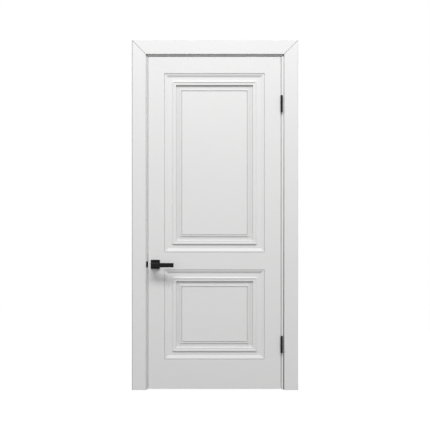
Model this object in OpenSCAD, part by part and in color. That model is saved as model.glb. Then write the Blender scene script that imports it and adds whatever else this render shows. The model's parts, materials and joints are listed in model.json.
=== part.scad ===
// Panelled interior door of white painted MDF, hung in its frame with architraves on both sides.
// X runs across the door, Z is up, and the side that the leaf opens towards faces -Y.
// The origin is on the floor, midway across the frame and midway through the leaf's thickness.

/* [Leaf] */
// Width of the leaf
leaf_w = 800; // [700:10:900]
// Height of the leaf
leaf_h = 2000; // [1960:10:2100]
// Thickness of the leaf
leaf_t = 40; // [38:1:44]
// Thickness of each milled MDF skin
skin_t = 14.5; // [14.5:0.5:15.5]
// Clear height under the leaf
floor_gap = 5; // [3:1:12]
// Clear gap along the leaf's other edges
edge_gap = 3; // [2.5:0.5:4]
// Chamfer along the leaf's face edges
leaf_chamfer = 1; // [0.5:0.25:2]
// Width of the timber stiles inside the leaf
core_stile_w = 90; // [80:1:120]
// Height of the top and middle rails inside the leaf
core_rail_h = 90; // [60:1:100]
// Height of the bottom rail inside the leaf
core_bottom_h = 120; // [80:1:170]

/* [Panels] */
// Plain face beside the panels
stile_w = 98; // [80:1:130]
// Plain face above the upper panel
top_rail_h = 99; // [80:1:130]
// Height of the upper panel over its moulding
upper_panel_h = 1079; // [1000:1:1090]
// Plain face between the panels
mid_rail_h = 104; // [80:1:130]
// Height of the lower panel over its moulding
lower_panel_h = 541; // [420:1:560]

/* [Moulding] */
// Width of the slot at the moulding's outer edge
quirk_w = 3; // [2:0.25:4]
// Depth of that slot below the face
quirk_d = 6; // [4:0.25:7]
// Depth at which the outer curve starts
brow_d = 0.5; // [0.25:0.25:1.5]
// Width of the outer curve with its slot
outer_slope_w = 23; // [18:0.5:28]
// Width of the outer flat
outer_flat_w = 26; // [18:0.5:30]
// Width of the raised bead
bead_w = 7; // [6:0.5:10]
// Width of the land inside the bead
land_w = 14; // [10:0.5:18]
// Width of the inner flat
inner_flat_w = 25; // [18:0.5:30]
// Distance of the groove's middle from the field's edge
groove_in = 9.5; // [7:0.5:14]
// Width of the groove round the field
groove_w = 4; // [2:0.25:5]
// Depth of the outer flat below the face
hollow_d = 6.5; // [5.5:0.25:8]
// Depth of the bead's crest below the face
bead_d = 0.5; // [0.25:0.25:1.5]
// Depth of the land below the face
land_d = 2.5; // [2:0.25:4]
// Depth of the inner flat below the face
inner_d = 10.5; // [9:0.25:11]
// Depth of the panel's field below the face
field_d = 7; // [5:0.25:7.5]
// Depth of the groove below the field
groove_d = 5.5; // [2:0.25:6]

/* [Frame] */
// Depth of the jambs through the wall
jamb_d = 90; // [80:1:160]
// Thickness of the jambs behind the rebate
jamb_t = 30; // [28:1:40]
// Height of the stop that the leaf closes on
stop_h = 12; // [11:0.5:20]
// Room for the seal between the stop and the leaf
seal_gap = 3; // [2.5:0.25:4]
// Bare jamb edge in front on the lock side
reveal_lock = 10; // [9:0.5:16]
// Bare jamb edge in front on the hinge side
reveal_hinge = 16; // [12:0.5:18]
// Bare jamb edge in front at the head
reveal_head = 10; // [6:0.5:16]
// Width of the architraves
arch_w = 84; // [60:1:110]
// Thickness of the architraves
arch_t = 10; // [8:0.5:16]
// Radius along the architraves' outer edges
arch_r = 5; // [2:0.25:6]
// Radius along the architraves' inner edges
arch_in_r = 1.5; // [1:0.25:4]
// Hairline gap at the frame's and the architraves' mitres
joint_gap = 0.5; // [0.2:0.1:1]
// Width of the small bevel along each side of an architrave's mitre
mitre_bevel = 1; // [0.5:0.25:2]
// Distance of the architrave's tongue from its inner edge
tongue_in = 4; // [3:0.5:6]
// Thickness of the architrave's tongue
tongue_t = 4; // [3:0.5:5]
// Length of the architrave's tongue
tongue_l = 11; // [8:0.5:11]
// Clearance round the tongue in its groove
tongue_fit = 0.2; // [0.1:0.05:0.4]
// Width of the seal's soft head
seal_w = 9; // [6:0.5:10]
// Thickness of the seal's stem
seal_stem_t = 3; // [2:0.25:4]
// Length of the seal's stem
seal_stem_l = 5; // [3:0.5:8]
// Gap left between the seal and the closed leaf
seal_touch = 0.3; // [0.2:0.05:0.6]
// Diameter of the holes for the wall screws
fixing_d = 6; // [5:0.5:8]
// Distance of the outermost wall screws from the floor and from the head
fixing_end = 124; // [100:1:140]

/* [Hinges] */
// Height of the hinges
hinge_h = 98; // [80:1:120]
// Diameter of the knuckle
knuckle_d = 13; // [11:0.5:14]
// Number of knuckles
knuckle_n = 5; // [3:2:7]
// Diameter of the pin
pin_d = 7; // [5:0.5:8]
// Radial clearance of the pin
pin_fit = 0.05; // [0.02:0.01:0.1]
// Gap between neighbouring knuckles
knuckle_gap = 0.4; // [0.3:0.1:0.8]
// Gap between the knuckle and the closed leaf's face
knuckle_clear = 0.5; // [0.3:0.1:1]
// Height of the pin's head
pin_head_h = 3; // [2:0.5:5]
// Thickness of the flaps
flap_t = 2.5; // [2:0.25:3]
// Depth of the flaps from the face of the leaf
flap_d = 29; // [26:0.5:32]
// Distance of the upper hinge's middle below the top of the leaf
upper_hinge_drop = 285; // [180:5:320]
// Height of the lower hinge's middle above the bottom of the leaf
lower_hinge_rise = 267; // [230:1:320]

/* [Lock] */
// Height of the spindle above the bottom of the leaf
spindle_rise = 750; // [720:1:800]
// Distance of the spindle from the leaf's edge
backset = 44; // [44:1:50]
// Width of the square spindle
spindle_w = 8; // [7:0.5:9]
// Clearance round the spindle in its sockets
spindle_fit = 0.05; // [0.02:0.01:0.2]
// Height of the lock case
case_h = 110; // [90:1:130]
// Depth of the lock case behind its forend
case_d = 66; // [64:1:74]
// Thickness of the lock case
case_t = 14; // [13:0.5:16]
// Wall of the lock case
case_wall = 1.5; // [1:0.25:2]
// Height of the forend
forend_h = 150; // [140:1:200]
// Width of the forend
forend_w = 18; // [16:0.5:20]
// Thickness of the forend
forend_t = 3; // [2:0.5:4]
// Height of the latch bolt
bolt_h = 18; // [14:0.5:18]
// Thickness of the latch bolt
bolt_t = 10; // [8:0.25:10]
// Length of the latch bolt
bolt_l = 22; // [20:0.5:23]
// Throw of the latch bolt
bolt_throw = 11; // [9:0.5:12]
// Clearance round the latch bolt
bolt_fit = 0.3; // [0.2:0.05:0.5]
// Diameter of the follower
follower_d = 16; // [15.5:0.5:17]
// Diameter of the follower's bearing hubs
follower_hub_d = 14; // [13:0.25:15]
// Reach of the follower's arm from the spindle
arm_reach = 20; // [18:0.5:22]
// Thickness of the follower's arm
arm_t = 5; // [4:0.5:6]

/* [Strike] */
// Height of the strike plate
strike_h = 120; // [110:1:150]
// Thickness of the strike plate
strike_t = 2; // [1.5:0.25:3]
// Depth of the strike plate behind the jamb's front
strike_d = 32; // [30:1:38]
// Height of the strike's lip
lip_h = 35; // [26:1:50]
// Width of the strike's lip on the jamb's front
lip_w = 8; // [6:0.5:9]
// Room round the thrown bolt
strike_room = 1; // [0.5:0.25:2]
// Distance between the thrown bolt and the strike's magnet
magnet_gap = 4; // [1:0.5:5]
// Wall of the dust box
strike_box_wall = 1.5; // [1:0.25:2]
// Thickness of the strike's magnet
magnet_t = 3; // [2:0.25:3.5]

/* [Handles] */
// Width of the square rosette
rosette_w = 54; // [50:0.5:60]
// Thickness of the rosette
rosette_t = 8; // [7.5:0.25:11]
// Radius of the rosette's edges
rosette_r = 1.5; // [0.5:0.25:2]
// Wall of the rosette's cover
rosette_wall = 2; // [1.5:0.25:2.5]
// Thickness of the rosette's base
rosette_base_t = 5; // [4:0.25:5.5]
// Diameter of the lever's neck
neck_d = 20; // [18:0.5:22]
// Radial clearance of the neck in its bearing
neck_fit = 0.05; // [0.02:0.01:0.1]
// Reach of the lever from the leaf's face
lever_proj = 60; // [50:1:70]
// Height of the lever's bar
lever_h = 25; // [20:0.5:28]
// Thickness of the lever's bar
lever_t = 12; // [8:0.5:16]
// Length of the lever from the spindle to its tip
lever_reach = 114; // [90:1:140]
// Length of the lever from the spindle to its back end
lever_back = 20; // [14:0.5:24]
// Length of the lever's return leg from the spindle towards its tip
hub_reach = 16; // [12:0.5:20]
// Gap between the return leg and the rosette
hub_gap = 1; // [0.5:0.25:2]
// Radius of the lever's edges
lever_r = 2; // [1:0.25:3]

/* [Screws] */
// Shank diameter of the wood screws
screw_d = 4; // [3:0.25:4.5]
// Head diameter of the wood screws
screw_head_d = 8; // [6:0.5:9]
// Length of the hinge, strike and forend screws
screw_l = 25; // [18:1:26]
// Clearance round a screw
screw_fit = 0.05; // [0.02:0.01:0.1]
// Length of the short screws under the rosettes
base_screw_l = 13; // [10:0.5:14]
// Diameter of the screws that hold the frame's corners
corner_screw_d = 5; // [4:0.5:6]
// Length of the screws that hold the frame's corners
corner_screw_l = 60; // [50:1:80]
// Diameter of the levers' grub screws
grub_d = 5; // [4:0.5:6]

/* [Hidden] */
$fn = 64;

// Colours of the painted board, the core, the black fittings and the bare steel
white_paint = "whitesmoke";
core_timber = "burlywood";
black_finish = "#242424";
bare_steel = "silver";

// Overshoot of a cut past the face that it opens
over = 1;
// Reach of a cutter that runs right past the part
far = 4000;
// Share of an overlap that welds two shapes of one piece
weld = 0.2;

// Distances of the screws from the ends and edges of what they hold
flap_screw_in = 10;
flap_screw_end = 15;
forend_screw_end = 9;
strike_screw_end = 10;
base_screw_in = 6;
// Depth of a grub screw below the lever's underside
grub_sink = 1;
// Distance of the spindle's ends from the levers' bars
spindle_short = 4;
// Room round the levers' necks in the leaf
neck_room = 2;
// Reach and thickness of the bolt's tail, and thickness of its shoulder and of the retractor's lugs
tail_l = 8;
tail_t = 4;
lug_t = 3;

// Places across the door
overall_w = leaf_w + 2 * edge_gap + reveal_lock + reveal_hinge + 2 * arch_w;
arch_in = overall_w / 2 - arch_w;
lock_face = -arch_in + reveal_lock;
leaf_x0 = lock_face + edge_gap;
leaf_x1 = leaf_x0 + leaf_w;
hinge_face = leaf_x1 + edge_gap;
// Places up the door
leaf_z0 = floor_gap;
leaf_z1 = leaf_z0 + leaf_h;
head_face = leaf_z1 + edge_gap;
arch_z = head_face + reveal_head;
fixing_mid_z = head_face / 2;
fixing_outer = fixing_mid_z - fixing_end;
fixing_inner = fixing_outer / 2;
// Places through the door
front_y = -leaf_t / 2;
rear_y = leaf_t / 2;
core_y = rear_y - skin_t;
stop_y = rear_y + seal_gap;
back_y = front_y + jamb_d;

// Panels and their moulding
panel_w = leaf_w - 2 * stile_w;
panel_x = (leaf_x0 + leaf_x1) / 2;
upper_panel_z = leaf_z1 - top_rail_h - upper_panel_h / 2;
mid_rail_z = leaf_z1 - top_rail_h - upper_panel_h - mid_rail_h / 2;
lower_panel_z = mid_rail_z - mid_rail_h / 2 - lower_panel_h / 2;
// Run of the moulding's steep steps, draft of its slots' sides and bow of its outer curve
step_run = 0.5;
slot_draft = 0.2;
curve_bow = 1.6;
s_bead = outer_slope_w + outer_flat_w;
s_land = s_bead + bead_w;
s_step = s_land + land_w;
s_edge = s_step + inner_flat_w;
groove_s0 = s_edge + groove_in - groove_w / 2;
groove_s1 = groove_s0 + groove_w;
groove_depth = field_d + groove_d;
mould_w = groove_s1 + over;

// Hinges
hinge_x = leaf_x1 + knuckle_d / 2 - flap_t - weld;
hinge_y = front_y - knuckle_d / 2 - knuckle_clear;
upper_hinge_z = leaf_z1 - upper_hinge_drop;
lower_hinge_z = leaf_z0 + lower_hinge_rise;
knuckle_l = (hinge_h - (knuckle_n - 1) * knuckle_gap) / knuckle_n;
knuckle_pitch = knuckle_l + knuckle_gap;
flap_screw_y = front_y + flap_d - flap_screw_in;
flap_screw_z = hinge_h / 2 - flap_screw_end;

// Lock
spindle_x = leaf_x0 + backset;
spindle_z = leaf_z0 + spindle_rise;
case_x0 = leaf_x0 + forend_t;
case_in_y = case_t / 2 - case_wall;
forend_screw_z = forend_h / 2 - forend_screw_end;
follower_t = 2 * case_in_y - 2 * bolt_fit;
tail_end = bolt_l + tail_l;
tail_top = bolt_h / 2 + tail_t;
lug_x = tail_end - 2 * lug_t - bolt_throw - bolt_fit;
hook_x = backset + arm_t / 2 + bolt_fit;
bar_z = arm_reach + 2 * bolt_fit + arm_t / 2;
strike_screw_z = strike_h / 2 - strike_screw_end;
strike_box_d = bolt_throw - edge_gap - strike_t + magnet_gap + magnet_t + strike_box_wall;
hole_through_leaf_d = neck_d + 2 * neck_room;

// Handles
base_w = rosette_w - 2 * rosette_wall;
base_screw_at = base_w / 2 - base_screw_in;
lever_face_y = front_y - lever_proj;
lever_rear_y = lever_face_y + lever_t;
spindle_end = -lever_rear_y - spindle_short;
grub_y = front_y - rosette_t - (lever_proj - rosette_t - lever_t) / 2;
neck_end_y = front_y - bolt_fit;
hub_end_y = front_y - rosette_t - hub_gap;

// Box between two opposite corners
module block(low, high) {
    translate(low)
        cube(high - low);
}

// Cylinder along Y between two places
module y_rod(d, y0, y1) {
    translate([0, y0, 0])
        rotate([-90, 0, 0])
            cylinder(d = d, h = y1 - y0);
}

// Rectangle with round corners, about its centre
module round_rect(w, h, r) {
    square([w - 2 * r, h], center = true);
    square([w, h - 2 * r], center = true);
    for (x = [-1, 1], y = [-1, 1])
        translate([x * (w / 2 - r), y * (h / 2 - r)])
            circle(r = r);
}

// Mirrors its children through the leaf's middle plane
module to_rear() {
    mirror([0, 1, 0])
        children();
}

// Moves its children to the spindle's axis
module at_spindle() {
    translate([spindle_x, 0, spindle_z])
        children();
}

// Countersunk screw along +Z, its head's flat face at z = 0
module screw(d, head_d, length, fit = 0) {
    head_h = (head_d - d) / 2;
    cylinder(d1 = head_d + 2 * fit, d2 = d + 2 * fit, h = head_h);
    cylinder(d = d + 2 * fit, h = length + fit);
}

// Countersunk screw with a cross recess in its head
module wood_screw(d, head_d, length) {
    recess = head_d / 2;
    difference() {
        screw(d, head_d, length);
        for (a = [0, 90])
            rotate(a)
                cube([recess, recess / 4, 2 * over], center = true);
    }
}

// Wood screw's hole, opened past its head's face
module screw_hole(d, head_d, length) {
    screw(d, head_d, length, screw_fit);
    translate([0, 0, -over])
        cylinder(d = head_d + 2 * screw_fit, h = over);
}

// Points of the outer curve, which steepens towards the flat
function outer_curve(steps = 8) =
    [for (i = [0:steps])
        [
            quirk_w + (outer_slope_w - quirk_w) * i / steps,
            brow_d + (hollow_d - brow_d) * pow(i / steps, curve_bow)
        ]];

// Section that the cutter takes out, as distance from the outer edge and depth below the face
function moulding_section() = concat(
    [[0, -over], [0, quirk_d], [quirk_w - slot_draft, quirk_d]],
    outer_curve(),
    [[s_bead, hollow_d], [s_bead + step_run, bead_d + step_run], [s_bead + 2 * step_run, bead_d]],
    [[s_land - step_run, bead_d], [s_land, land_d], [s_step, land_d], [s_step + step_run, inner_d]],
    [[s_edge, inner_d], [s_edge + step_run, field_d], [groove_s0, field_d]],
    [[groove_s0 + slot_draft, groove_depth], [groove_s1 - slot_draft, groove_depth]],
    [[groove_s1, field_d], [mould_w, field_d]]
);

// Corners of the panel's outline, moved in and sunk to a point of the section
function section_corners(h, point) = [
    for (corner = [[-1, -1], [1, -1], [1, 1], [-1, 1]])
        [corner[0] * (panel_w / 2 - point[0]), point[1], corner[1] * (h / 2 - point[0])]
];

// Milled panel, cut into a face at y = 0, with the moulding mitred round it
module panel_cut(z, h) {
    section = moulding_section();
    last = 4 * (len(section) - 1);
    translate([panel_x, 0, z])
        polyhedron(
            points = [for (point = section) each section_corners(h, point)],
            faces = concat(
                [[3, 2, 1, 0]],
                [for (i = [0:4:last - 4], k = [0:3], j = (k + 1) % 4) [i + k, i + j, i + 4 + j, i + 4 + k]],
                [[last, last + 1, last + 2, last + 3]]
            )
        );
}

// Chamfers round the edges of a leaf face at y = 0
module face_chamfers() {
    side = leaf_chamfer * sqrt(2);
    for (x = [leaf_x0, leaf_x1])
        translate([x, 0, leaf_z0 + leaf_h / 2])
            rotate([0, 0, 45])
                cube([side, side, leaf_h + 2 * over], center = true);
    for (z = [leaf_z0, leaf_z1])
        translate([leaf_x0 + leaf_w / 2, 0, z])
            rotate([45, 0, 0])
                cube([leaf_w + 2 * over, side, side], center = true);
}

// Milled skin with its face at y = 0
module skin_blank() {
    difference() {
        block([leaf_x0, 0, leaf_z0], [leaf_x1, skin_t, leaf_z1]);
        panel_cut(upper_panel_z, upper_panel_h);
        panel_cut(lower_panel_z, lower_panel_h);
        face_chamfers();
    }
}

// Pocket in the leaf's edge for a hinge flap
module leaf_flap_pocket(z) {
    block(
        [leaf_x1 - flap_t, front_y - over, z - hinge_h / 2],
        [leaf_x1 + over, front_y + flap_d, z + hinge_h / 2]
    );
}

// Runs its children, drawn along +Z, into the leaf's hinge edge at each screw of a flap
module at_leaf_flap_screws(z) {
    for (step = [-1:1])
        translate([leaf_x1, flap_screw_y, z + step * flap_screw_z])
            rotate([0, -90, 0])
                children();
}

// Runs its children, drawn along +Z, into the hinge jamb at each screw of a flap
module at_jamb_flap_screws(z) {
    for (step = [-1:1])
        translate([hinge_face, flap_screw_y, z + step * flap_screw_z])
            rotate([0, 90, 0])
                children();
}

// Runs its children, drawn along +Z, into the lock edge at each forend screw
module at_forend_screws() {
    for (side = [-1, 1])
        translate([leaf_x0, 0, spindle_z + side * forend_screw_z])
            rotate([0, 90, 0])
                children();
}

// Runs its children, drawn along +Z, into the lock jamb at each strike screw
module at_strike_screws() {
    for (side = [-1, 1])
        translate([lock_face, strike_d / 2 + front_y, spindle_z + side * strike_screw_z])
            rotate([0, -90, 0])
                children();
}

// Runs its children, drawn along +Z, into the front face at each screw of a rosette's base
module at_base_screws() {
    at_spindle()
        for (x = [-1, 1], z = [-1, 1])
            translate([x * base_screw_at, front_y - rosette_base_t, z * base_screw_at])
                rotate([-90, 0, 0])
                    children();
}

// Runs its children, drawn along +Z, down into each corner of the frame
module at_corner_screws() {
    for (x = [lock_face - jamb_t / 2, hinge_face + jamb_t / 2], y = [0, (stop_y + back_y) / 2])
        translate([x, y, head_face + jamb_t])
            mirror([0, 0, 1])
                children();
}

// Pockets for the lock's forend and case
module lock_pocket() {
    block(
        [leaf_x0 - over, -forend_w / 2, spindle_z - forend_h / 2],
        [leaf_x0 + forend_t, forend_w / 2, spindle_z + forend_h / 2]
    );
    block(
        [leaf_x0, -case_t / 2, spindle_z - case_h / 2],
        [case_x0 + case_d, case_t / 2, spindle_z + case_h / 2]
    );
}

// Everything that is cut through both skins and the core of the leaf
module leaf_cuts() {
    at_spindle()
        y_rod(hole_through_leaf_d, front_y - over, rear_y + over);
    lock_pocket();
    at_forend_screws()
        screw_hole(screw_d, screw_head_d, screw_l);
    for (z = [upper_hinge_z, lower_hinge_z]) {
        leaf_flap_pocket(z);
        at_leaf_flap_screws(z)
            screw_hole(screw_d, screw_head_d, screw_l);
    }
    at_base_screws()
        screw_hole(screw_d, screw_head_d, base_screw_l);
    to_rear()
        at_base_screws()
            screw_hole(screw_d, screw_head_d, base_screw_l);
}

// Front skin of the leaf
module front_skin() {
    color(white_paint)
        difference() {
            translate([0, front_y, 0])
                skin_blank();
            leaf_cuts();
        }
}

// Rear skin of the leaf
module rear_skin() {
    color(white_paint)
        difference() {
            to_rear()
                translate([0, front_y, 0])
                    skin_blank();
            leaf_cuts();
        }
}

// Timber stile that holds the lock
module lock_stile() {
    color(core_timber)
        difference() {
            block([leaf_x0, -core_y, leaf_z0], [leaf_x0 + core_stile_w, core_y, leaf_z1]);
            leaf_cuts();
        }
}

// Timber stile that holds the hinges
module hinge_stile() {
    color(core_timber)
        difference() {
            block([leaf_x1 - core_stile_w, -core_y, leaf_z0], [leaf_x1, core_y, leaf_z1]);
            leaf_cuts();
        }
}

// Piece of the core between the stiles
module between_stiles(z0, z1) {
    block([leaf_x0 + core_stile_w, -core_y, z0], [leaf_x1 - core_stile_w, core_y, z1]);
}

// Timber rails across the leaf
module top_rail() {
    color(core_timber)
        between_stiles(leaf_z1 - core_rail_h, leaf_z1);
}

module mid_rail() {
    color(core_timber)
        between_stiles(mid_rail_z - core_rail_h / 2, mid_rail_z + core_rail_h / 2);
}

module bottom_rail() {
    color(core_timber)
        between_stiles(leaf_z0, leaf_z0 + core_bottom_h);
}

// Light infill between the rails
module upper_infill() {
    color("tan")
        between_stiles(mid_rail_z + core_rail_h / 2, leaf_z1 - core_rail_h);
}

module lower_infill() {
    color("tan")
        between_stiles(leaf_z0 + core_bottom_h, mid_rail_z - core_rail_h / 2);
}

// Jamb's section behind the rebate face, as distance outwards from that face and place through the wall
module jamb_section(reveal) {
    groove = reveal + tongue_in - tongue_fit;
    groove_l = tongue_l + tongue_fit;
    difference() {
        translate([0, front_y])
            square([jamb_t, jamb_d]);
        translate([groove, front_y - over])
            square([tongue_t + 2 * tongue_fit, groove_l + over]);
        translate([groove, back_y - groove_l])
            square([tongue_t + 2 * tongue_fit, groove_l + over]);
    }
}

// Stop's section with its groove for the seal
module stop_section() {
    difference() {
        translate([-stop_h, stop_y])
            square([stop_h + over, back_y - stop_y]);
        translate([-stop_h / 2 - seal_stem_t / 2, stop_y - over])
            square([seal_stem_t, seal_stem_l + over]);
    }
}

// Seal's section, a stem in the groove and a soft head
module seal_section() {
    head_t = seal_gap - seal_touch;
    translate([-stop_h / 2, stop_y]) {
        translate([-seal_stem_t / 2, -head_t / 2])
            square([seal_stem_t, seal_stem_l + head_t / 2]);
        translate([0, -head_t / 2])
            round_rect(seal_w, head_t, head_t / 2 - weld);
    }
}

// Jamb on the hinge side before its pockets are cut
module jamb_blank(reveal) {
    difference() {
        linear_extrude(head_face + jamb_t)
            union() {
                jamb_section(reveal);
                stop_section();
            }
        corner_cut(1);
    }
}

// Space above a jamb's mitre, or below the head's with side = -1, from the rebate's corner at x = 0
module corner_cut(side) {
    translate([0, 0, head_face - side * joint_gap / 2])
        rotate([0, -45, 0])
            translate([-far / 2, -far / 2, side > 0 ? 0 : -far])
                cube(far);
}

// Wall screw holes through a jamb, their countersinks at the rebate face
module fixing_holes() {
    for (side = [-1, 1], rise = [fixing_inner, fixing_outer])
        translate([0, 0, fixing_mid_z + side * rise])
            rotate([0, 90, 0]) {
                translate([0, 0, -over])
                    cylinder(d = fixing_d, h = jamb_t + 2 * over);
                cylinder(d1 = 2 * fixing_d, d2 = fixing_d, h = fixing_d / 2);
            }
}

// Jamb on the lock side
module lock_jamb() {
    color(white_paint)
        difference() {
            translate([lock_face, 0, 0])
                mirror([1, 0, 0])
                    difference() {
                        jamb_blank(reveal_lock);
                        fixing_holes();
                    }
            strike_pocket();
            at_strike_screws()
                screw_hole(screw_d, screw_head_d, screw_l);
            at_corner_screws()
                screw_hole(corner_screw_d, 2 * corner_screw_d, corner_screw_l);
        }
}

// Jamb on the hinge side
module hinge_jamb() {
    color(white_paint)
        difference() {
            translate([hinge_face, 0, 0])
                difference() {
                    jamb_blank(reveal_hinge);
                    fixing_holes();
                }
            for (z = [upper_hinge_z, lower_hinge_z]) {
                block(
                    [hinge_face - over, front_y - over, z - hinge_h / 2],
                    [hinge_face + flap_t, front_y + flap_d, z + hinge_h / 2]
                );
                at_jamb_flap_screws(z)
                    screw_hole(screw_d, screw_head_d, screw_l);
            }
            at_corner_screws()
                screw_hole(corner_screw_d, 2 * corner_screw_d, corner_screw_l);
        }
}

// Runs a section along the head, mitred at the corners of the rebate
module along_head() {
    difference() {
        translate([hinge_face + jamb_t, 0, head_face])
            rotate([0, -90, 0])
                linear_extrude(hinge_face - lock_face + 2 * jamb_t)
                    union()
                        children();
        translate([hinge_face, 0, 0])
            corner_cut(-1);
        translate([lock_face, 0, 0])
            mirror([1, 0, 0])
                corner_cut(-1);
    }
}

// Head of the frame, mitred to the two jambs
module head_jamb() {
    color(white_paint)
        difference() {
            along_head() {
                jamb_section(reveal_head);
                stop_section();
            }
            at_corner_screws()
                screw_hole(corner_screw_d, 2 * corner_screw_d, corner_screw_l);
        }
}

// Screws that hold the head to the jambs
module corner_screws() {
    color(bare_steel)
        at_corner_screws()
            wood_screw(corner_screw_d, 2 * corner_screw_d, corner_screw_l);
}

// Seals along the stops
module seal_side() {
    difference() {
        linear_extrude(head_face)
            seal_section();
        corner_cut(1);
    }
}

module lock_seal() {
    color("gainsboro")
        translate([lock_face, 0, 0])
            mirror([1, 0, 0])
                seal_side();
}

module hinge_seal() {
    color("gainsboro")
        translate([hinge_face, 0, 0])
            seal_side();
}

module head_seal() {
    color("gainsboro")
        along_head()
            seal_section();
}

// Architrave's board in section, from its inner edge outwards, with its back at y = 0
module architrave_section() {
    translate([0, arch_in_r - arch_t])
        square([arch_w / 2, arch_t - arch_in_r]);
    translate([arch_w / 2, arch_r - arch_t])
        square([arch_w / 2, arch_t - arch_r]);
    translate([arch_in_r, -arch_t])
        square([arch_w - arch_in_r - arch_r, arch_t]);
    translate([arch_in_r, arch_in_r - arch_t])
        circle(r = arch_in_r);
    translate([arch_w - arch_r, arch_r - arch_t])
        circle(r = arch_r);
}

// Space on the outer side of the hinge side's mitre, or of the head's with side = -1
module mitre_cut(side) {
    bevel = (mitre_bevel + joint_gap / 2) * sqrt(2);
    translate([arch_in, 0, arch_z])
        rotate([0, -45, 0]) {
            translate([-far / 2, -far / 2, side > 0 ? -joint_gap / 2 : joint_gap / 2 - far])
                cube(far);
            translate([0, -arch_t, 0])
                rotate([45, 0, 0])
                    cube([far, bevel, bevel], center = true);
        }
}

// Upright architrave on the hinge side
module architrave_side() {
    difference() {
        translate([arch_in, 0, 0])
            linear_extrude(arch_z + arch_w + over)
                architrave_section();
        mitre_cut(1);
    }
    block([arch_in + tongue_in, -weld, 0], [arch_in + tongue_in + tongue_t, tongue_l, head_face]);
}

// Architrave across the head
module architrave_head() {
    half = hinge_face + reveal_head + tongue_in - 2 * joint_gap;
    difference() {
        translate([arch_in + arch_w, 0, arch_z])
            rotate([0, -90, 0])
                linear_extrude(overall_w)
                    architrave_section();
        for (across = [0, 1])
            mirror([across, 0, 0])
                mitre_cut(-1);
    }
    block([-half, -weld, arch_z + tongue_in], [half, tongue_l, arch_z + tongue_in + tongue_t]);
}

// Puts an architrave on the front of the frame
module on_front() {
    color(white_paint)
        translate([0, front_y, 0])
            children();
}

// Puts an architrave on the back of the frame
module on_back() {
    color(white_paint)
        translate([0, back_y, 0])
            to_rear()
                children();
}

module front_architrave_hinge() {
    on_front()
        architrave_side();
}

module front_architrave_lock() {
    on_front()
        mirror([1, 0, 0])
            architrave_side();
}

module front_architrave_head() {
    on_front()
        architrave_head();
}

module rear_architrave_hinge() {
    on_back()
        architrave_side();
}

module rear_architrave_lock() {
    on_back()
        mirror([1, 0, 0])
            architrave_side();
}

module rear_architrave_head() {
    on_back()
        architrave_head();
}

// Every second knuckle of a hinge, with the neck that joins it to a flap from x0
module knuckles(first, x0, z) {
    for (i = [first:2:knuckle_n - 1])
        translate([0, 0, z - hinge_h / 2 + i * knuckle_pitch]) {
            translate([hinge_x, hinge_y, 0])
                cylinder(d = knuckle_d, h = knuckle_l);
            block([x0, hinge_y, 0], [x0 + flap_t, front_y + weld, knuckle_l]);
        }
}

// Bore through a hinge's knuckles
module pin_bore(z) {
    translate([hinge_x, hinge_y, z - hinge_h / 2 - over])
        cylinder(d = pin_d + 2 * pin_fit, h = hinge_h + 2 * over);
}

// Hinge flap let into the jamb
module jamb_flap(z) {
    color(black_finish)
        difference() {
            union() {
                block(
                    [hinge_face, front_y, z - hinge_h / 2],
                    [hinge_face + flap_t, front_y + flap_d, z + hinge_h / 2]
                );
                knuckles(0, hinge_face, z);
            }
            pin_bore(z);
            at_jamb_flap_screws(z)
                screw_hole(screw_d, screw_head_d, screw_l);
        }
}

// Hinge flap let into the leaf's edge
module leaf_flap(z) {
    color(black_finish)
        difference() {
            union() {
                block(
                    [leaf_x1 - flap_t, front_y, z - hinge_h / 2],
                    [leaf_x1, front_y + flap_d, z + hinge_h / 2]
                );
                knuckles(1, leaf_x1 - flap_t, z);
            }
            pin_bore(z);
            at_leaf_flap_screws(z)
                screw_hole(screw_d, screw_head_d, screw_l);
        }
}

// Hinge pin with a round head on the top knuckle
module hinge_pin(z) {
    color(black_finish)
        translate([hinge_x, hinge_y, z - hinge_h / 2]) {
            cylinder(d = pin_d, h = hinge_h + pin_head_h / 2);
            translate([0, 0, hinge_h])
                rotate_extrude() {
                    square([knuckle_d / 2 - pin_head_h / 2, pin_head_h]);
                    square([knuckle_d / 2, pin_head_h / 2]);
                    translate([knuckle_d / 2 - pin_head_h / 2, pin_head_h / 2])
                        circle(r = pin_head_h / 2);
                }
        }
}

module upper_jamb_flap() {
    jamb_flap(upper_hinge_z);
}

module lower_jamb_flap() {
    jamb_flap(lower_hinge_z);
}

module upper_leaf_flap() {
    leaf_flap(upper_hinge_z);
}

module lower_leaf_flap() {
    leaf_flap(lower_hinge_z);
}

module upper_hinge_pin() {
    hinge_pin(upper_hinge_z);
}

module lower_hinge_pin() {
    hinge_pin(lower_hinge_z);
}

module jamb_flap_screws() {
    color(black_finish)
        for (z = [upper_hinge_z, lower_hinge_z])
            at_jamb_flap_screws(z)
                wood_screw(screw_d, screw_head_d, screw_l);
}

module leaf_flap_screws() {
    color(black_finish)
        for (z = [upper_hinge_z, lower_hinge_z])
            at_leaf_flap_screws(z)
                wood_screw(screw_d, screw_head_d, screw_l);
}

// Opening in the strike for the thrown bolt
module strike_mouth(x0, x1) {
    block(
        [x0, -bolt_t / 2 - strike_room, spindle_z - bolt_h / 2 - strike_room],
        [x1, bolt_t / 2 + strike_room, spindle_z + bolt_h / 2 + strike_room]
    );
}

// Outside of the dust box between two places
module strike_box_block(x0, x1) {
    half_y = bolt_t / 2 + strike_room + strike_box_wall;
    half_z = bolt_h / 2 + strike_room + strike_box_wall;
    block([x0, -half_y, spindle_z - half_z], [x1, half_y, spindle_z + half_z]);
}

// Outline of the strike plate, from its front edge
module strike_block(x0, x1) {
    block(
        [x0, front_y, spindle_z - strike_h / 2],
        [x1, front_y + strike_d, spindle_z + strike_h / 2]
    );
}

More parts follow.
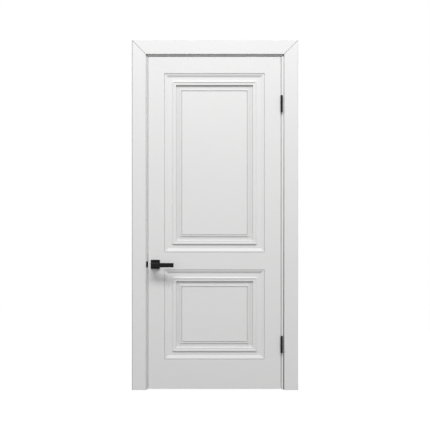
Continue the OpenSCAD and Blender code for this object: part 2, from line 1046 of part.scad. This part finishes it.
// Pockets in the lock jamb for the strike plate and its box
module strike_pocket() {
    strike_block(lock_face - strike_t, lock_face + over);
    block(
        [lock_face - strike_t, front_y - over, spindle_z - strike_h / 2],
        [lock_face + over, front_y + over, spindle_z + strike_h / 2]
    );
    strike_box_block(lock_face - strike_t - strike_box_d, lock_face);
}

// Strike plate with the lip that the latch rides in over
module strike_plate() {
    color(black_finish)
        difference() {
            union() {
                strike_block(lock_face - strike_t, lock_face);
                block(
                    [lock_face - lip_w, front_y - strike_t, spindle_z - lip_h / 2],
                    [lock_face, front_y, spindle_z + lip_h / 2]
                );
            }
            strike_mouth(lock_face - strike_t - over, lock_face + over);
            at_strike_screws()
                screw_hole(screw_d, screw_head_d, screw_l);
        }
}

// Dust box behind the strike plate
module strike_box() {
    color(black_finish)
        difference() {
            strike_box_block(lock_face - strike_t - strike_box_d, lock_face - strike_t);
            strike_mouth(lock_face - strike_t - strike_box_d + strike_box_wall, lock_face);
        }
}

// Magnet at the back of the dust box, which draws the bolt out
module strike_magnet() {
    magnet_x = lock_face - strike_t - strike_box_d + strike_box_wall;
    color(bare_steel)
        strike_mouth(magnet_x, magnet_x + magnet_t);
}

module strike_screws() {
    color(black_finish)
        at_strike_screws()
            wood_screw(screw_d, screw_head_d, screw_l);
}

// Forend on the leaf's edge
module lock_forend() {
    color(black_finish)
        difference() {
            block(
                [leaf_x0, -forend_w / 2, spindle_z - forend_h / 2],
                [leaf_x0 + forend_t, forend_w / 2, spindle_z + forend_h / 2]
            );
            bolt_way();
            at_forend_screws()
                screw_hole(screw_d, screw_head_d, screw_l);
        }
}

// Way that the latch bolt slides in through the forend and the case
module bolt_way() {
    block(
        [leaf_x0 - over, -bolt_t / 2 - bolt_fit, spindle_z - bolt_h / 2 - bolt_fit],
        [case_x0 + case_wall + over, bolt_t / 2 + bolt_fit, spindle_z + bolt_h / 2 + bolt_fit]
    );
}

module forend_screws() {
    color(black_finish)
        at_forend_screws()
            wood_screw(screw_d, screw_head_d, screw_l);
}

// Holes for the follower's hubs
module hub_bore() {
    at_spindle()
        y_rod(follower_hub_d + 2 * neck_fit, -case_t, case_t);
}

// Lock case, a tray with its rear plate and four walls
module lock_case() {
    color(bare_steel)
        difference() {
            block(
                [case_x0, case_wall - case_t / 2, spindle_z - case_h / 2],
                [case_x0 + case_d, case_t / 2, spindle_z + case_h / 2]
            );
            block(
                [case_x0 + case_wall, -case_t, spindle_z - case_h / 2 + case_wall],
                [case_x0 + case_d - case_wall, case_in_y, spindle_z + case_h / 2 - case_wall]
            );
            bolt_way();
            hub_bore();
        }
}

// Cover plate of the lock case
module lock_cover() {
    color(bare_steel)
        difference() {
            block(
                [case_x0, -case_t / 2, spindle_z - case_h / 2],
                [case_x0 + case_d, case_wall - case_t / 2, spindle_z + case_h / 2]
            );
            hub_bore();
        }
}

// Square hole for the spindle
module spindle_socket(y0, y1) {
    half = spindle_w / 2 + spindle_fit;
    at_spindle()
        block([-half, y0, -half], [half, y1, half]);
}

// Follower with the arm that draws the retractor back
module follower() {
    color(bare_steel)
        difference() {
            at_spindle() {
                y_rod(follower_d, -follower_t / 2, follower_t / 2);
                y_rod(follower_hub_d, -case_t / 2, case_t / 2);
                block([-arm_t / 2, -follower_t / 2, 0], [arm_t / 2, follower_t / 2, arm_reach - arm_t / 2]);
                translate([0, 0, arm_reach - arm_t / 2])
                    y_rod(arm_t, -follower_t / 2, follower_t / 2);
            }
            spindle_socket(-case_t, case_t);
        }
}

// Retractor that the follower's arm draws back, with the lug that takes the bolt's shoulder along
module retractor() {
    color(bare_steel)
        translate([leaf_x0, -bolt_t / 2, spindle_z]) {
            block([lug_x, 0, bar_z], [hook_x + lug_t, bolt_t, bar_z + tail_t]);
            block([lug_x, 0, tail_top + bolt_fit], [lug_x + lug_t, bolt_t, bar_z + weld]);
            block([hook_x, 0, arm_reach / 2], [hook_x + lug_t, bolt_t, bar_z + weld]);
        }
}

// Latch bolt with its tail and shoulder
module latch_bolt() {
    color(bare_steel)
        translate([leaf_x0, -bolt_t / 2, spindle_z]) {
            block([0, 0, -bolt_h / 2], [bolt_l, bolt_t, bolt_h / 2]);
            block([bolt_l - lug_t, 0, bolt_h / 2 - weld], [tail_end, bolt_t, tail_top]);
            block([tail_end - lug_t, 0, tail_top - weld], [tail_end, bolt_t, arm_reach]);
        }
}

// Base of a front rosette, with the bearing for the lever's neck
module rosette_base() {
    difference() {
        at_spindle()
            block(
                [-base_w / 2, front_y - rosette_base_t, -base_w / 2],
                [base_w / 2, front_y, base_w / 2]
            );
        at_spindle()
            y_rod(neck_d + 2 * neck_fit, front_y - rosette_t, front_y + over);
        at_base_screws()
            screw_hole(screw_d, screw_head_d, base_screw_l);
    }
}

module front_rosette_base() {
    color("dimgray")
        rosette_base();
}

module rear_rosette_base() {
    color("dimgray")
        to_rear()
            rosette_base();
}

// Screws that hold both rosette bases to the leaf
module rosette_screws() {
    color(bare_steel)
        for (side = [0, 1])
            mirror([0, side, 0])
                at_base_screws()
                    wood_screw(screw_d, screw_head_d, base_screw_l);
}

// Square cover of a front rosette, its front edges rounded
module rosette_cover() {
    half = rosette_w / 2;
    deep = 2 * rosette_t;
    difference() {
        at_spindle()
            intersection() {
                translate([0, front_y, 0])
                    rotate([90, 0, 0])
                        linear_extrude(rosette_t)
                            round_rect(rosette_w, rosette_w, rosette_r);
                translate([0, front_y, -half])
                    linear_extrude(rosette_w)
                        round_rect(rosette_w, deep, rosette_r);
                translate([half, front_y, 0])
                    rotate([0, -90, 0])
                        linear_extrude(rosette_w)
                            round_rect(rosette_w, deep, rosette_r);
            }
        at_spindle()
            block(
                [-base_w / 2, front_y - rosette_base_t, -base_w / 2],
                [base_w / 2, front_y + over, base_w / 2]
            );
        at_spindle()
            y_rod(neck_d + 2 * bolt_fit, front_y - deep, front_y + over);
    }
}

module front_rosette() {
    color(black_finish)
        rosette_cover();
}

module rear_rosette() {
    color(black_finish)
        to_rear()
            rosette_cover();
}

// Front lever, a bar with rounded edges on a square return leg and a round neck
module lever() {
    bar_l = lever_reach + lever_back;
    bar_mid = (lever_reach - lever_back) / 2;
    difference() {
        at_spindle() {
            intersection() {
                translate([-lever_back, lever_face_y + lever_t / 2, 0])
                    rotate([90, 0, 90])
                        linear_extrude(bar_l)
                            round_rect(lever_t, lever_h, lever_r);
                translate([bar_mid, lever_rear_y, 0])
                    rotate([90, 0, 0])
                        linear_extrude(lever_t)
                            round_rect(bar_l, lever_h, lever_r);
            }
            translate([(hub_reach - lever_back) / 2, hub_end_y, 0])
                rotate([90, 0, 0])
                    linear_extrude(hub_end_y - lever_rear_y + lever_t / 2)
                        round_rect(lever_back + hub_reach, lever_h, lever_r);
            y_rod(neck_d, lever_rear_y, neck_end_y);
        }
        spindle_socket(-spindle_end - spindle_fit, 0);
        grub_hole();
    }
}

// Hole for the front lever's grub screw, from its underside to the spindle
module grub_hole() {
    at_spindle()
        translate([0, grub_y, -lever_h])
            cylinder(d = grub_d, h = lever_h);
}

module front_lever() {
    color(black_finish)
        lever();
}

module rear_lever() {
    color(black_finish)
        to_rear()
            lever();
}

// Square spindle through both levers and the follower
module spindle() {
    half = spindle_w / 2;
    color(bare_steel)
        at_spindle()
            block([-half, -spindle_end, -half], [half, spindle_end, half]);
}

// Grub screws that lock the levers on the spindle
module grub_screws() {
    color(bare_steel)
        for (side = [0, 1])
            mirror([0, side, 0])
                at_spindle()
                    translate([0, grub_y, grub_sink - lever_h / 2])
                        cylinder(d = grub_d - 2 * screw_fit, h = lever_h / 2 - spindle_w / 2 - grub_sink);
}

lock_jamb();
hinge_jamb();
head_jamb();
front_architrave_lock();
front_architrave_hinge();
front_architrave_head();
rear_architrave_lock();
rear_architrave_hinge();
rear_architrave_head();
lock_seal();
hinge_seal();
head_seal();
corner_screws();
upper_jamb_flap();
lower_jamb_flap();
upper_hinge_pin();
lower_hinge_pin();
jamb_flap_screws();
strike_plate();
strike_box();
strike_magnet();
strike_screws();
front_skin();
rear_skin();
lock_stile();
hinge_stile();
top_rail();
mid_rail();
bottom_rail();
upper_infill();
lower_infill();
upper_leaf_flap();
lower_leaf_flap();
leaf_flap_screws();
lock_case();
lock_cover();
lock_forend();
forend_screws();
front_rosette_base();
rear_rosette_base();
rosette_screws();
front_rosette();
rear_rosette();
front_lever();
rear_lever();
spindle();
follower();
grub_screws();
retractor();
latch_bolt();
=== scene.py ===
import json
import math
import bpy
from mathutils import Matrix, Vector


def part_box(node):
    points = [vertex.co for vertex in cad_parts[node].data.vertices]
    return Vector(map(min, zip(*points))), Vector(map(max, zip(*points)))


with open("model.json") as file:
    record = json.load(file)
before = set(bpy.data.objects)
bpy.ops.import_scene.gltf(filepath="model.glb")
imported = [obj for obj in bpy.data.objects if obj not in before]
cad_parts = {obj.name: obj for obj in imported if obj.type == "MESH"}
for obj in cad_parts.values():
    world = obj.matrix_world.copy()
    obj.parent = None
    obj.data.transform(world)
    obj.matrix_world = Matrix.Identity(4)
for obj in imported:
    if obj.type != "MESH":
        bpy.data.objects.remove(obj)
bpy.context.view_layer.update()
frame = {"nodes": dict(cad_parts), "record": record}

nodes = frame["nodes"]
slotOf = {part["node"]: part["material_slot"] for part in frame["record"]["subparts"]}
print("door loaded with", len(nodes), "solids")


class Wire:  # one socket that can take part in sums
    def __init__(self, tree, socket=None):
        self.tree = tree
        self.socket = socket

    def make(self, kind, settings=None, inputs=None, out=0):
        node = self.tree.nodes.new(kind)
        for name, value in (settings or {}).items():
            if name == "stops":
                setStops(node.color_ramp, value)
            else:
                setattr(node, name, value)
        for name, value in (inputs or {}).items():
            if isinstance(value, Wire):
                self.tree.links.new(value.socket, node.inputs[name])
            else:
                node.inputs[name].default_value = value
        return Wire(self.tree, node.outputs[out])

    def sum(self, operation, *values):
        return self.make("ShaderNodeMath", {"operation": operation}, dict(enumerate(values)))

    def __add__(self, other):
        return self.sum("ADD", self, other)

    def __radd__(self, other):
        return self.sum("ADD", other, self)

    def __sub__(self, other):
        return self.sum("SUBTRACT", self, other)

    def __rsub__(self, other):
        return self.sum("SUBTRACT", other, self)

    def __mul__(self, other):
        return self.sum("MULTIPLY", self, other)

    def __rmul__(self, other):
        return self.sum("MULTIPLY", other, self)

    def __gt__(self, other):
        return self.sum("GREATER_THAN", self, other)

    def __or__(self, other):
        return self.sum("MAXIMUM", self, other)

    def __ror__(self, other):
        return self.sum("MAXIMUM", other, self)

    def __abs__(self):
        return self.sum("ABSOLUTE", self)


def setStops(ramp, stops):  # the ramp starts with two stops
    while len(ramp.elements) < len(stops):
        ramp.elements.new(1.0)
    for element, (place, colour) in zip(ramp.elements, stops):
        element.position = place
        element.color = colour


def grey(level):
    return (level, level, level, 1.0)


def startFinish(name):
    material = bpy.data.materials.new(name)
    material.use_nodes = True
    tree = material.node_tree
    pen = Wire(tree)
    place = pen.make("ShaderNodeTexCoord", out="Object")
    return material, pen, tree.nodes["Principled BSDF"], place


def plug(shader, wire, socket):
    shader.id_data.links.new(wire.socket, shader.inputs[socket])


def coat(pen, shader, finish, colour, rough, height):
    plug(shader, colour, "Base Color")
    plug(shader, rough, "Roughness")
    values = {"Height": height, "Strength": finish["bumpStrength"], "Distance": finish["bumpDepth"]}
    plug(shader, pen.make("ShaderNodeBump", inputs=values), "Normal")


def axes(pen, vector):
    parts = pen.make("ShaderNodeSeparateXYZ", inputs={"Vector": vector}).socket.node
    return [Wire(pen.tree, socket) for socket in parts.outputs]


def stretched(pen, place, scale):
    return pen.make("ShaderNodeMapping", inputs={"Vector": place, "Scale": scale})


def noise(pen, place, scale, detail=2.0, rough=0.5):
    values = {"Vector": place, "Scale": scale, "Detail": detail, "Roughness": rough}
    return pen.make("ShaderNodeTexNoise", inputs=values)


def flecks(pen, place, scale, channel):  # one random tone for each cell
    values = {"Vector": place, "Scale": scale}
    cells = pen.make("ShaderNodeTexVoronoi", {"feature": "F1"}, values, "Color")
    return pen.make("ShaderNodeSeparateColor", inputs={"Color": cells}, out=channel)


def mixColour(pen, share, first, second):
    return pen.make("ShaderNodeMix", {"data_type": "RGBA"}, {0: share, 6: first, 7: second}, 2)


def ramp(pen, share, stops):
    return pen.make("ShaderNodeValToRGB", {"stops": stops}, {"Fac": share})


def weigh(share, first, second):
    return share * first + (1.0 - share) * second


def facingUp(pen, least):
    return axes(pen, pen.make("ShaderNodeNewGeometry", out="Normal"))[2] > least


def byLeafEdge(x, z, within):
    low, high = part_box("front_skin")
    sideways = abs(x - (low.x + high.x) / 2) > (high.x - low.x) / 2 - within
    upright = abs(z - (low.z + high.z) / 2) > (high.z - low.z) / 2 - within
    return sideways | upright


enamel = {  # satin white paint, sprayed and lightly rolled
    "pale": (0.775, 0.775, 0.771, 1.0),
    "shade": (0.750, 0.751, 0.750, 1.0),
    "cloudScale": 2.1,
    "cloudDetail": 3.0,
    "peelScale": 310.0,
    "grainScale": 1300.0,
    "roughLow": 0.40,
    "roughSpan": 0.12,
    "roughClouds": 0.6,  # the clouds' share of the roughness, the rest is the roller's peel
    "bumpPeel": 0.8,  # the peel's share of the bump, the rest is grain
    "bumpStrength": 0.10,
    "bumpDepth": 0.0004,
    "shine": 0.42,
}


def enamelLook(pen, place):
    clouds = noise(pen, place, enamel["cloudScale"], enamel["cloudDetail"])
    peel = noise(pen, place, enamel["peelScale"])
    grain = noise(pen, place, enamel["grainScale"])
    colour = mixColour(pen, clouds, enamel["shade"], enamel["pale"])
    rough = enamel["roughLow"] + enamel["roughSpan"] * weigh(enamel["roughClouds"], clouds, peel)
    return colour, rough, weigh(enamel["bumpPeel"], peel, grain)


mitreShade = {  # painted shade: a darker grey line along the architraves' mitre joints
    "dust": (0.34, 0.34, 0.335, 1.0),
    "halfWidth": 0.0016,
    "dull": 0.2,
}


# Painted shade along the architraves' mitre joints.
def mitreShadeLine(pen, place):
    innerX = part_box("front_architrave_hinge")[0].x
    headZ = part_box("front_architrave_head")[0].z
    x, y, z = axes(pen, place)
    return 1.0 - (abs(abs(x) - z + (headZ - innerX)) > mitreShade["halfWidth"])


jointShade = {  # painted shade of a gap: a dark line between the jambs and the front architraves
    "dark": grey(0.02),
    "fine": 0.0012,
    "opening": 0.0036,  # what the hinge side gains from the head to the floor
    "shy": 0.0001,  # keeps the line off the architrave's own edge
    "lockInset": 0.0022,  # on the lock side the line lies this much further in
    "skin": 0.0003,  # only the jambs' front faces carry it
}


# Painted shade where a gap between jamb and architrave would lie, widening towards the floor on the
# hinge side.
def jointShadeLine(pen, place):
    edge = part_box("front_architrave_hinge")[0].x - jointShade["shy"]
    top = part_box("front_architrave_head")[0].z
    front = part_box("hinge_jamb")[0].y + jointShade["skin"]
    x, y, z = axes(pen, place)
    hingeSide = x > 0.0
    outer = abs(x) + jointShade["lockInset"] * (1.0 - hingeSide)
    width = jointShade["fine"] + hingeSide * (jointShade["opening"] - (jointShade["opening"] / top) * z)
    line = (outer + width > edge) * (1.0 - (outer > edge))
    return line * (front - y > 0.0) * (top - z > 0.0)


rim = {  # a grey veil on the frame's upward faces and a grey line along its lock-side outer front edge, both painted shade
    "dust": (0.30, 0.30, 0.295, 1.0),
    "topShare": 0.60,
    "upFrom": 0.2,
    "edgeShare": 0.40,
    "edgeWide": 0.0072,
    "edgeDeep": 0.006,
}


# Painted shade on the frame's upward faces and along the lock-side outer front edge.
def rimPaintedShade(pen, place):
    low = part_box("front_architrave_lock")[0]
    x, y, z = axes(pen, place)
    edge = (low.x + rim["edgeWide"] - x > 0.0) * (low.y + rim["edgeDeep"] - y > 0.0)
    return (rim["topShare"] * facingUp(pen, rim["upFrom"])) | (rim["edgeShare"] * edge)


def framePaintFinish(name):
    material, pen, shader, place = startFinish(name)
    colour, rough, height = enamelLook(pen, place)
    # Painted shade on the frame: the mitre lines, the dark line beside the jambs and the grey rim.
    line = mitreShadeLine(pen, place)
    colour = mixColour(pen, line, colour, mitreShade["dust"])
    colour = mixColour(pen, jointShadeLine(pen, place), colour, jointShade["dark"])
    colour = mixColour(pen, rimPaintedShade(pen, place), colour, rim["dust"])
    coat(pen, shader, enamel, colour, rough + mitreShade["dull"] * line, height)
    shader.inputs["Specular IOR Level"].default_value = enamel["shine"]
    return material


ledgeShade = {  # painted shade: a grey veil in the moulding's deep recesses, thickest on its upward faces
    "dust": (0.30, 0.30, 0.295, 1.0),
    "deepShare": 0.14,
    "deepFrom": 0.0072,
    "upShare": 0.14,
    "upFrom": 0.3,
    "faceSkin": 0.0003,  # the leaf's flat face gets none
    "rim": 0.05,  # nor have its edges
    "dull": 0.5,
}


# Painted shade, deeper in the moulding's recesses and on its upward faces.
def ledgePaintedShade(pen, place):
    x, y, z = axes(pen, place)
    depth = -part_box("front_skin")[0].y - abs(y)
    deep = ledgeShade["deepShare"] * (depth > ledgeShade["deepFrom"])
    upward = ledgeShade["upShare"] * facingUp(pen, ledgeShade["upFrom"]) * (depth > ledgeShade["faceSkin"])
    return (deep + upward) * (1.0 - byLeafEdge(x, z, ledgeShade["rim"]))


def leafPaintFinish(name):
    material, pen, shader, place = startFinish(name)
    colour, rough, height = enamelLook(pen, place)
    # The moulding's grey veil is painted shade.
    dust = ledgePaintedShade(pen, place)
    colour = mixColour(pen, dust, colour, ledgeShade["dust"])
    coat(pen, shader, enamel, colour, rough + ledgeShade["dull"] * dust, height)
    shader.inputs["Specular IOR Level"].default_value = enamel["shine"]
    return material


timber = {  # softwood inside the leaf, painted where its edges show
    "early": (0.78, 0.60, 0.38, 1.0),
    "late": (0.55, 0.36, 0.19, 1.0),
    "ringScale": 26.0,
    "ringDetail": 4.0,
    "ringRough": 0.6,
    "ringStops": [(0.35, grey(0.0)), (0.62, grey(1.0))],
    "along": 0.035,
    "fibreScale": 420.0,
    "roughLow": 0.62,
    "roughSpan": 0.2,
    "paintSkin": 0.0006,  # how deep the paint covers the edges
    "paintBump": 0.3,
    "bumpRings": 0.6,  # the rings' share of the bump, the rest is fibre
    "bumpStrength": 0.25,
    "bumpDepth": 0.0005,
}


def timberFinish(name, upright):
    material, pen, shader, place = startFinish(name)
    grainWay = (1.0, 1.0, timber["along"]) if upright else (timber["along"], 1.0, 1.0)
    laid = stretched(pen, place, grainWay)
    rings = noise(pen, laid, timber["ringScale"], timber["ringDetail"], timber["ringRough"])
    fibre = noise(pen, laid, timber["fibreScale"])
    wood = mixColour(pen, ramp(pen, rings, timber["ringStops"]), timber["early"], timber["late"])
    woodRough = timber["roughLow"] + timber["roughSpan"] * fibre
    paint, paintRough, paintHeight = enamelLook(pen, place)
    x, y, z = axes(pen, place)
    painted = byLeafEdge(x, z, timber["paintSkin"])
    height = weigh(painted, timber["paintBump"] * paintHeight, weigh(timber["bumpRings"], rings, fibre))
    rough = weigh(painted, paintRough, woodRough)
    coat(pen, shader, timber, mixColour(pen, painted, wood, paint), rough, height)
    return material


chipboard = {  # pressed flakes between the rails
    "flakes": [
        (0.0, (0.50, 0.36, 0.22, 1.0)),
        (0.35, (0.66, 0.50, 0.32, 1.0)),
        (0.7, (0.74, 0.60, 0.42, 1.0)),
        (1.0, (0.60, 0.44, 0.28, 1.0)),
    ],
    "flakeScale": 190.0,
    "flakeShare": 0.75,  # the rest is dust
    "dustScale": 900.0,
    "dustDetail": 3.0,
    "roughLow": 0.78,
    "roughSpan": 0.15,
    "bumpStrength": 0.5,
    "bumpDepth": 0.0006,
}


def chipboardFinish(name):
    material, pen, shader, place = startFinish(name)
    dust = noise(pen, place, chipboard["dustScale"], chipboard["dustDetail"])
    tone = flecks(pen, place, chipboard["flakeScale"], "Red")
    mixed = weigh(chipboard["flakeShare"], tone, dust)
    rough = chipboard["roughLow"] + chipboard["roughSpan"] * dust
    coat(pen, shader, chipboard, ramp(pen, mixed, chipboard["flakes"]), rough, mixed)
    return material


powderCoat = {  # matt black coating on the handles, hinges and strike
    "deep": (0.004, 0.004, 0.0043, 1.0),
    "dusty": (0.009, 0.009, 0.0094, 1.0),
    "cloudScale": 24.0,
    "cloudDetail": 3.0,
    "cloudShare": 0.6,  # the rest of the colour is grain
    "grainScale": 2200.0,
    "roughLow": 0.42,
    "roughSpan": 0.16,
    "shine": 0.16,
    "bumpStrength": 0.22,
    "bumpDepth": 0.00012,
}


def powderCoatFinish(name, painted=None):
    material, pen, shader, place = startFinish(name)
    clouds = noise(pen, place, powderCoat["cloudScale"], powderCoat["cloudDetail"])
    grain = noise(pen, place, powderCoat["grainScale"])
    blend = weigh(powderCoat["cloudShare"], clouds, grain)
    colour = mixColour(pen, blend, powderCoat["deep"], powderCoat["dusty"])
    rough = powderCoat["roughLow"] + powderCoat["roughSpan"] * clouds
    if painted:
        mask = painted(pen, place)
        paint, paintRough = enamelLook(pen, place)[:2]
        colour = mixColour(pen, mask, colour, paint)
        rough = weigh(mask, paintRough, rough)
    coat(pen, shader, powderCoat, colour, rough, grain)
    shader.inputs["Specular IOR Level"].default_value = powderCoat["shine"]
    return material


strike = {  # the frame's paint runs over the plate's edge, above and below the lip
    "lipHalf": 0.0175,  # half the height that stays black
    "edgeDepth": 0.0003,
}


def strikeEdge(pen, place):
    low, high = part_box("strike_plate")
    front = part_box("lock_jamb")[0].y + strike["edgeDepth"]
    x, y, z = axes(pen, place)
    return (front - y > 0.0) * (abs(z - (low.z + high.z) / 2) > strike["lipHalf"])


nylon = {  # moulded black bases and dust box
    "low": (0.030, 0.030, 0.031, 1.0),
    "high": (0.052, 0.052, 0.053, 1.0),
    "patchScale": 40.0,
    "skinScale": 1500.0,
    "roughLow": 0.5,
    "roughSpan": 0.2,
    "bumpStrength": 0.3,
    "bumpDepth": 0.00015,
}

rubber = {  # soft pale seal along the stops
    "low": (0.60, 0.60, 0.59, 1.0),
    "high": (0.70, 0.70, 0.69, 1.0),
    "patchScale": 30.0,
    "skinScale": 1700.0,
    "roughLow": 0.62,
    "roughSpan": 0.16,
    "bumpStrength": 0.2,
    "bumpDepth": 0.00015,
}


def plasticFinish(name, plastic):
    material, pen, shader, place = startFinish(name)
    patch = noise(pen, place, plastic["patchScale"])
    skin = noise(pen, place, plastic["skinScale"])
    colour = mixColour(pen, patch, plastic["low"], plastic["high"])
    coat(pen, shader, plastic, colour, plastic["roughLow"] + plastic["roughSpan"] * skin, skin)
    return material


zinc = {  # bright plating on the lock's inside and on the screws
    "bright": (0.66, 0.67, 0.68, 1.0),
    "dull": (0.50, 0.51, 0.53, 1.0),
    "spangleScale": 260.0,
    "spangleShare": 0.5,  # the rest of the colour is draw marks
    "drawScale": 900.0,
    "drawWay": (1.0, 1.0, 0.08),
    "roughLow": 0.30,
    "roughSpan": 0.18,
    "bumpStrength": 0.15,
    "bumpDepth": 0.0001,
}


def zincFinish(name):
    material, pen, shader, place = startFinish(name)
    tone = flecks(pen, place, zinc["spangleScale"], "Green")
    drawn = noise(pen, stretched(pen, place, zinc["drawWay"]), zinc["drawScale"])
    colour = mixColour(pen, weigh(zinc["spangleShare"], tone, drawn), zinc["dull"], zinc["bright"])
    coat(pen, shader, zinc, colour, zinc["roughLow"] + zinc["roughSpan"] * drawn, drawn)
    shader.inputs["Metallic"].default_value = 1.0
    return material


stileTimber = timberFinish("stileTimber", True)
railTimber = timberFinish("railTimber", False)
strikeCoat = powderCoatFinish("strikePowderCoat", strikeEdge)
finishOf = {
    "frame_paint": framePaintFinish("framePaint"),
    "leaf_paint": leafPaintFinish("leafPaint"),
    "seal_rubber": plasticFinish("sealRubber", rubber),
    "core_infill": chipboardFinish("coreChipboard"),
    "zinc_steel": zincFinish("zincSteel"),
    "fitting_plastic": plasticFinish("blackNylon", nylon),
    "black_fitting": powderCoatFinish("blackPowderCoat"),
}
for name, solid in nodes.items():
    if slotOf[name] == "core_timber":
        finish = stileTimber if name.endswith("stile") else railTimber
    elif name == "strike_plate":
        finish = strikeCoat
    else:
        finish = finishOf[slotOf[name]]
    solid.data.materials.clear()
    solid.data.materials.append(finish)
print("finishes on", len(nodes), "solids")

studio = {  # pale floor under a white sky
    "floorSize": 40.0,
    "floorPale": grey(0.90),
    "floorBounce": grey(0.12),  # what it throws back at the door
    "floorRough": 0.9,
    "whiteNear": 0.80,  # share of plain white in what the camera sees of the floor
    "whiteFar": 1.0,
    "nearReach": 1.0,  # distances from the door's middle, where the white share grows
    "farReach": 3.4,
    "skyStrength": 0.753,
}


def seenDirectly(pen):
    path = pen.make("ShaderNodeLightPath", out="Is Camera Ray")
    glossy = Wire(pen.tree, path.socket.node.outputs["Is Glossy Ray"])
    through = Wire(pen.tree, path.socket.node.outputs["Is Transmission Ray"])
    return path | glossy | through


def layFloor():
    bpy.ops.object.select_all(action="DESELECT")
    bpy.ops.mesh.primitive_plane_add(size=studio["floorSize"], location=(0, 0, 0))
    floor = bpy.context.object
    floor.name = "studioFloor"
    material, pen, shader, place = startFinish("studioFloor")
    seen = seenDirectly(pen)
    plug(shader, mixColour(pen, seen, studio["floorBounce"], studio["floorPale"]), "Base Color")
    shader.inputs["Roughness"].default_value = studio["floorRough"]
    shader.inputs["Specular IOR Level"].default_value = 0.0
    glow = pen.make("ShaderNodeEmission", inputs={"Color": grey(1.0), "Strength": 1.0})
    body = Wire(pen.tree, shader.outputs[0])
    reach = pen.make("ShaderNodeVectorMath", {"operation": "LENGTH"}, {0: place}, "Value")
    fade = {
        "Value": reach,
        "From Min": studio["nearReach"],
        "From Max": studio["farReach"],
        "To Min": studio["whiteNear"],
        "To Max": studio["whiteFar"],
    }
    white = pen.make("ShaderNodeMapRange", {"interpolation_type": "SMOOTHSTEP"}, fade)
    mixed = pen.make("ShaderNodeMixShader", inputs={0: seen * white, 1: body, 2: glow})
    pen.tree.links.new(mixed.socket, pen.tree.nodes["Material Output"].inputs["Surface"])
    floor.data.materials.append(material)


def hangSky():  # plain white where it is seen, and a dimmer light on the door
    world = bpy.data.worlds.new("studioSky")
    bpy.context.scene.world = world
    world.use_nodes = True
    pen = Wire(world.node_tree)
    light = {"Color": grey(1.0), "Strength": studio["skyStrength"]}
    ambient = pen.make("ShaderNodeBackground", inputs=light)
    white = pen.make("ShaderNodeBackground", inputs={"Color": grey(1.0), "Strength": 1.0})
    mixed = pen.make("ShaderNodeMixShader", inputs={0: seenDirectly(pen), 1: ambient, 2: white})
    pen.tree.links.new(mixed.socket, pen.tree.nodes["World Output"].inputs["Surface"])


lamps = {  # one softbox high in front, a weaker one behind
    "keySoftbox": {"place": (0.2, -3.3, 6.3), "wide": 4.8, "deep": 1.5, "power": 356.0},
    "backSoftbox": {"place": (-0.6, 4.2, 3.6), "wide": 3.6, "deep": 1.8, "power": 125.0},
}
lampAim = Vector((0.0, 0.0, 1.05))


def hangLamp(name):
    lampSet = lamps[name]
    place = Vector(lampSet["place"])
    bpy.ops.object.light_add(type="AREA", location=place)
    lamp = bpy.context.object
    lamp.name = name
    lamp.data.shape = "RECTANGLE"
    lamp.data.size = lampSet["wide"]
    lamp.data.size_y = lampSet["deep"]
    lamp.data.energy = lampSet["power"]
    lamp.rotation_euler = (lampAim - place).to_track_quat("-Z", "Y").to_euler()


camera = {
    "distance": 2.7,  # from the architraves' front
    "frontPlane": -0.030,
    "height": 1.0515,
    "pixelsPerMetre": 166.6,  # at the front plane
    "imageWidth": 430,
    "sensor": 36.0,
}


def setCamera():
    place = (0.0, camera["frontPlane"] - camera["distance"], camera["height"])
    bpy.ops.object.camera_add(location=place, rotation=(math.pi / 2, 0.0, 0.0))
    eye = bpy.context.object
    eye.data.sensor_width = camera["sensor"]
    wide = camera["imageWidth"] / camera["pixelsPerMetre"]  # what the picture spans at that plane
    eye.data.lens = camera["sensor"] * camera["distance"] / wide
    bpy.context.scene.camera = eye


layFloor()
hangSky()
for lampName in lamps:
    hangLamp(lampName)
setCamera()
bpy.context.scene.view_settings.view_transform = "Standard"
print("studio set")
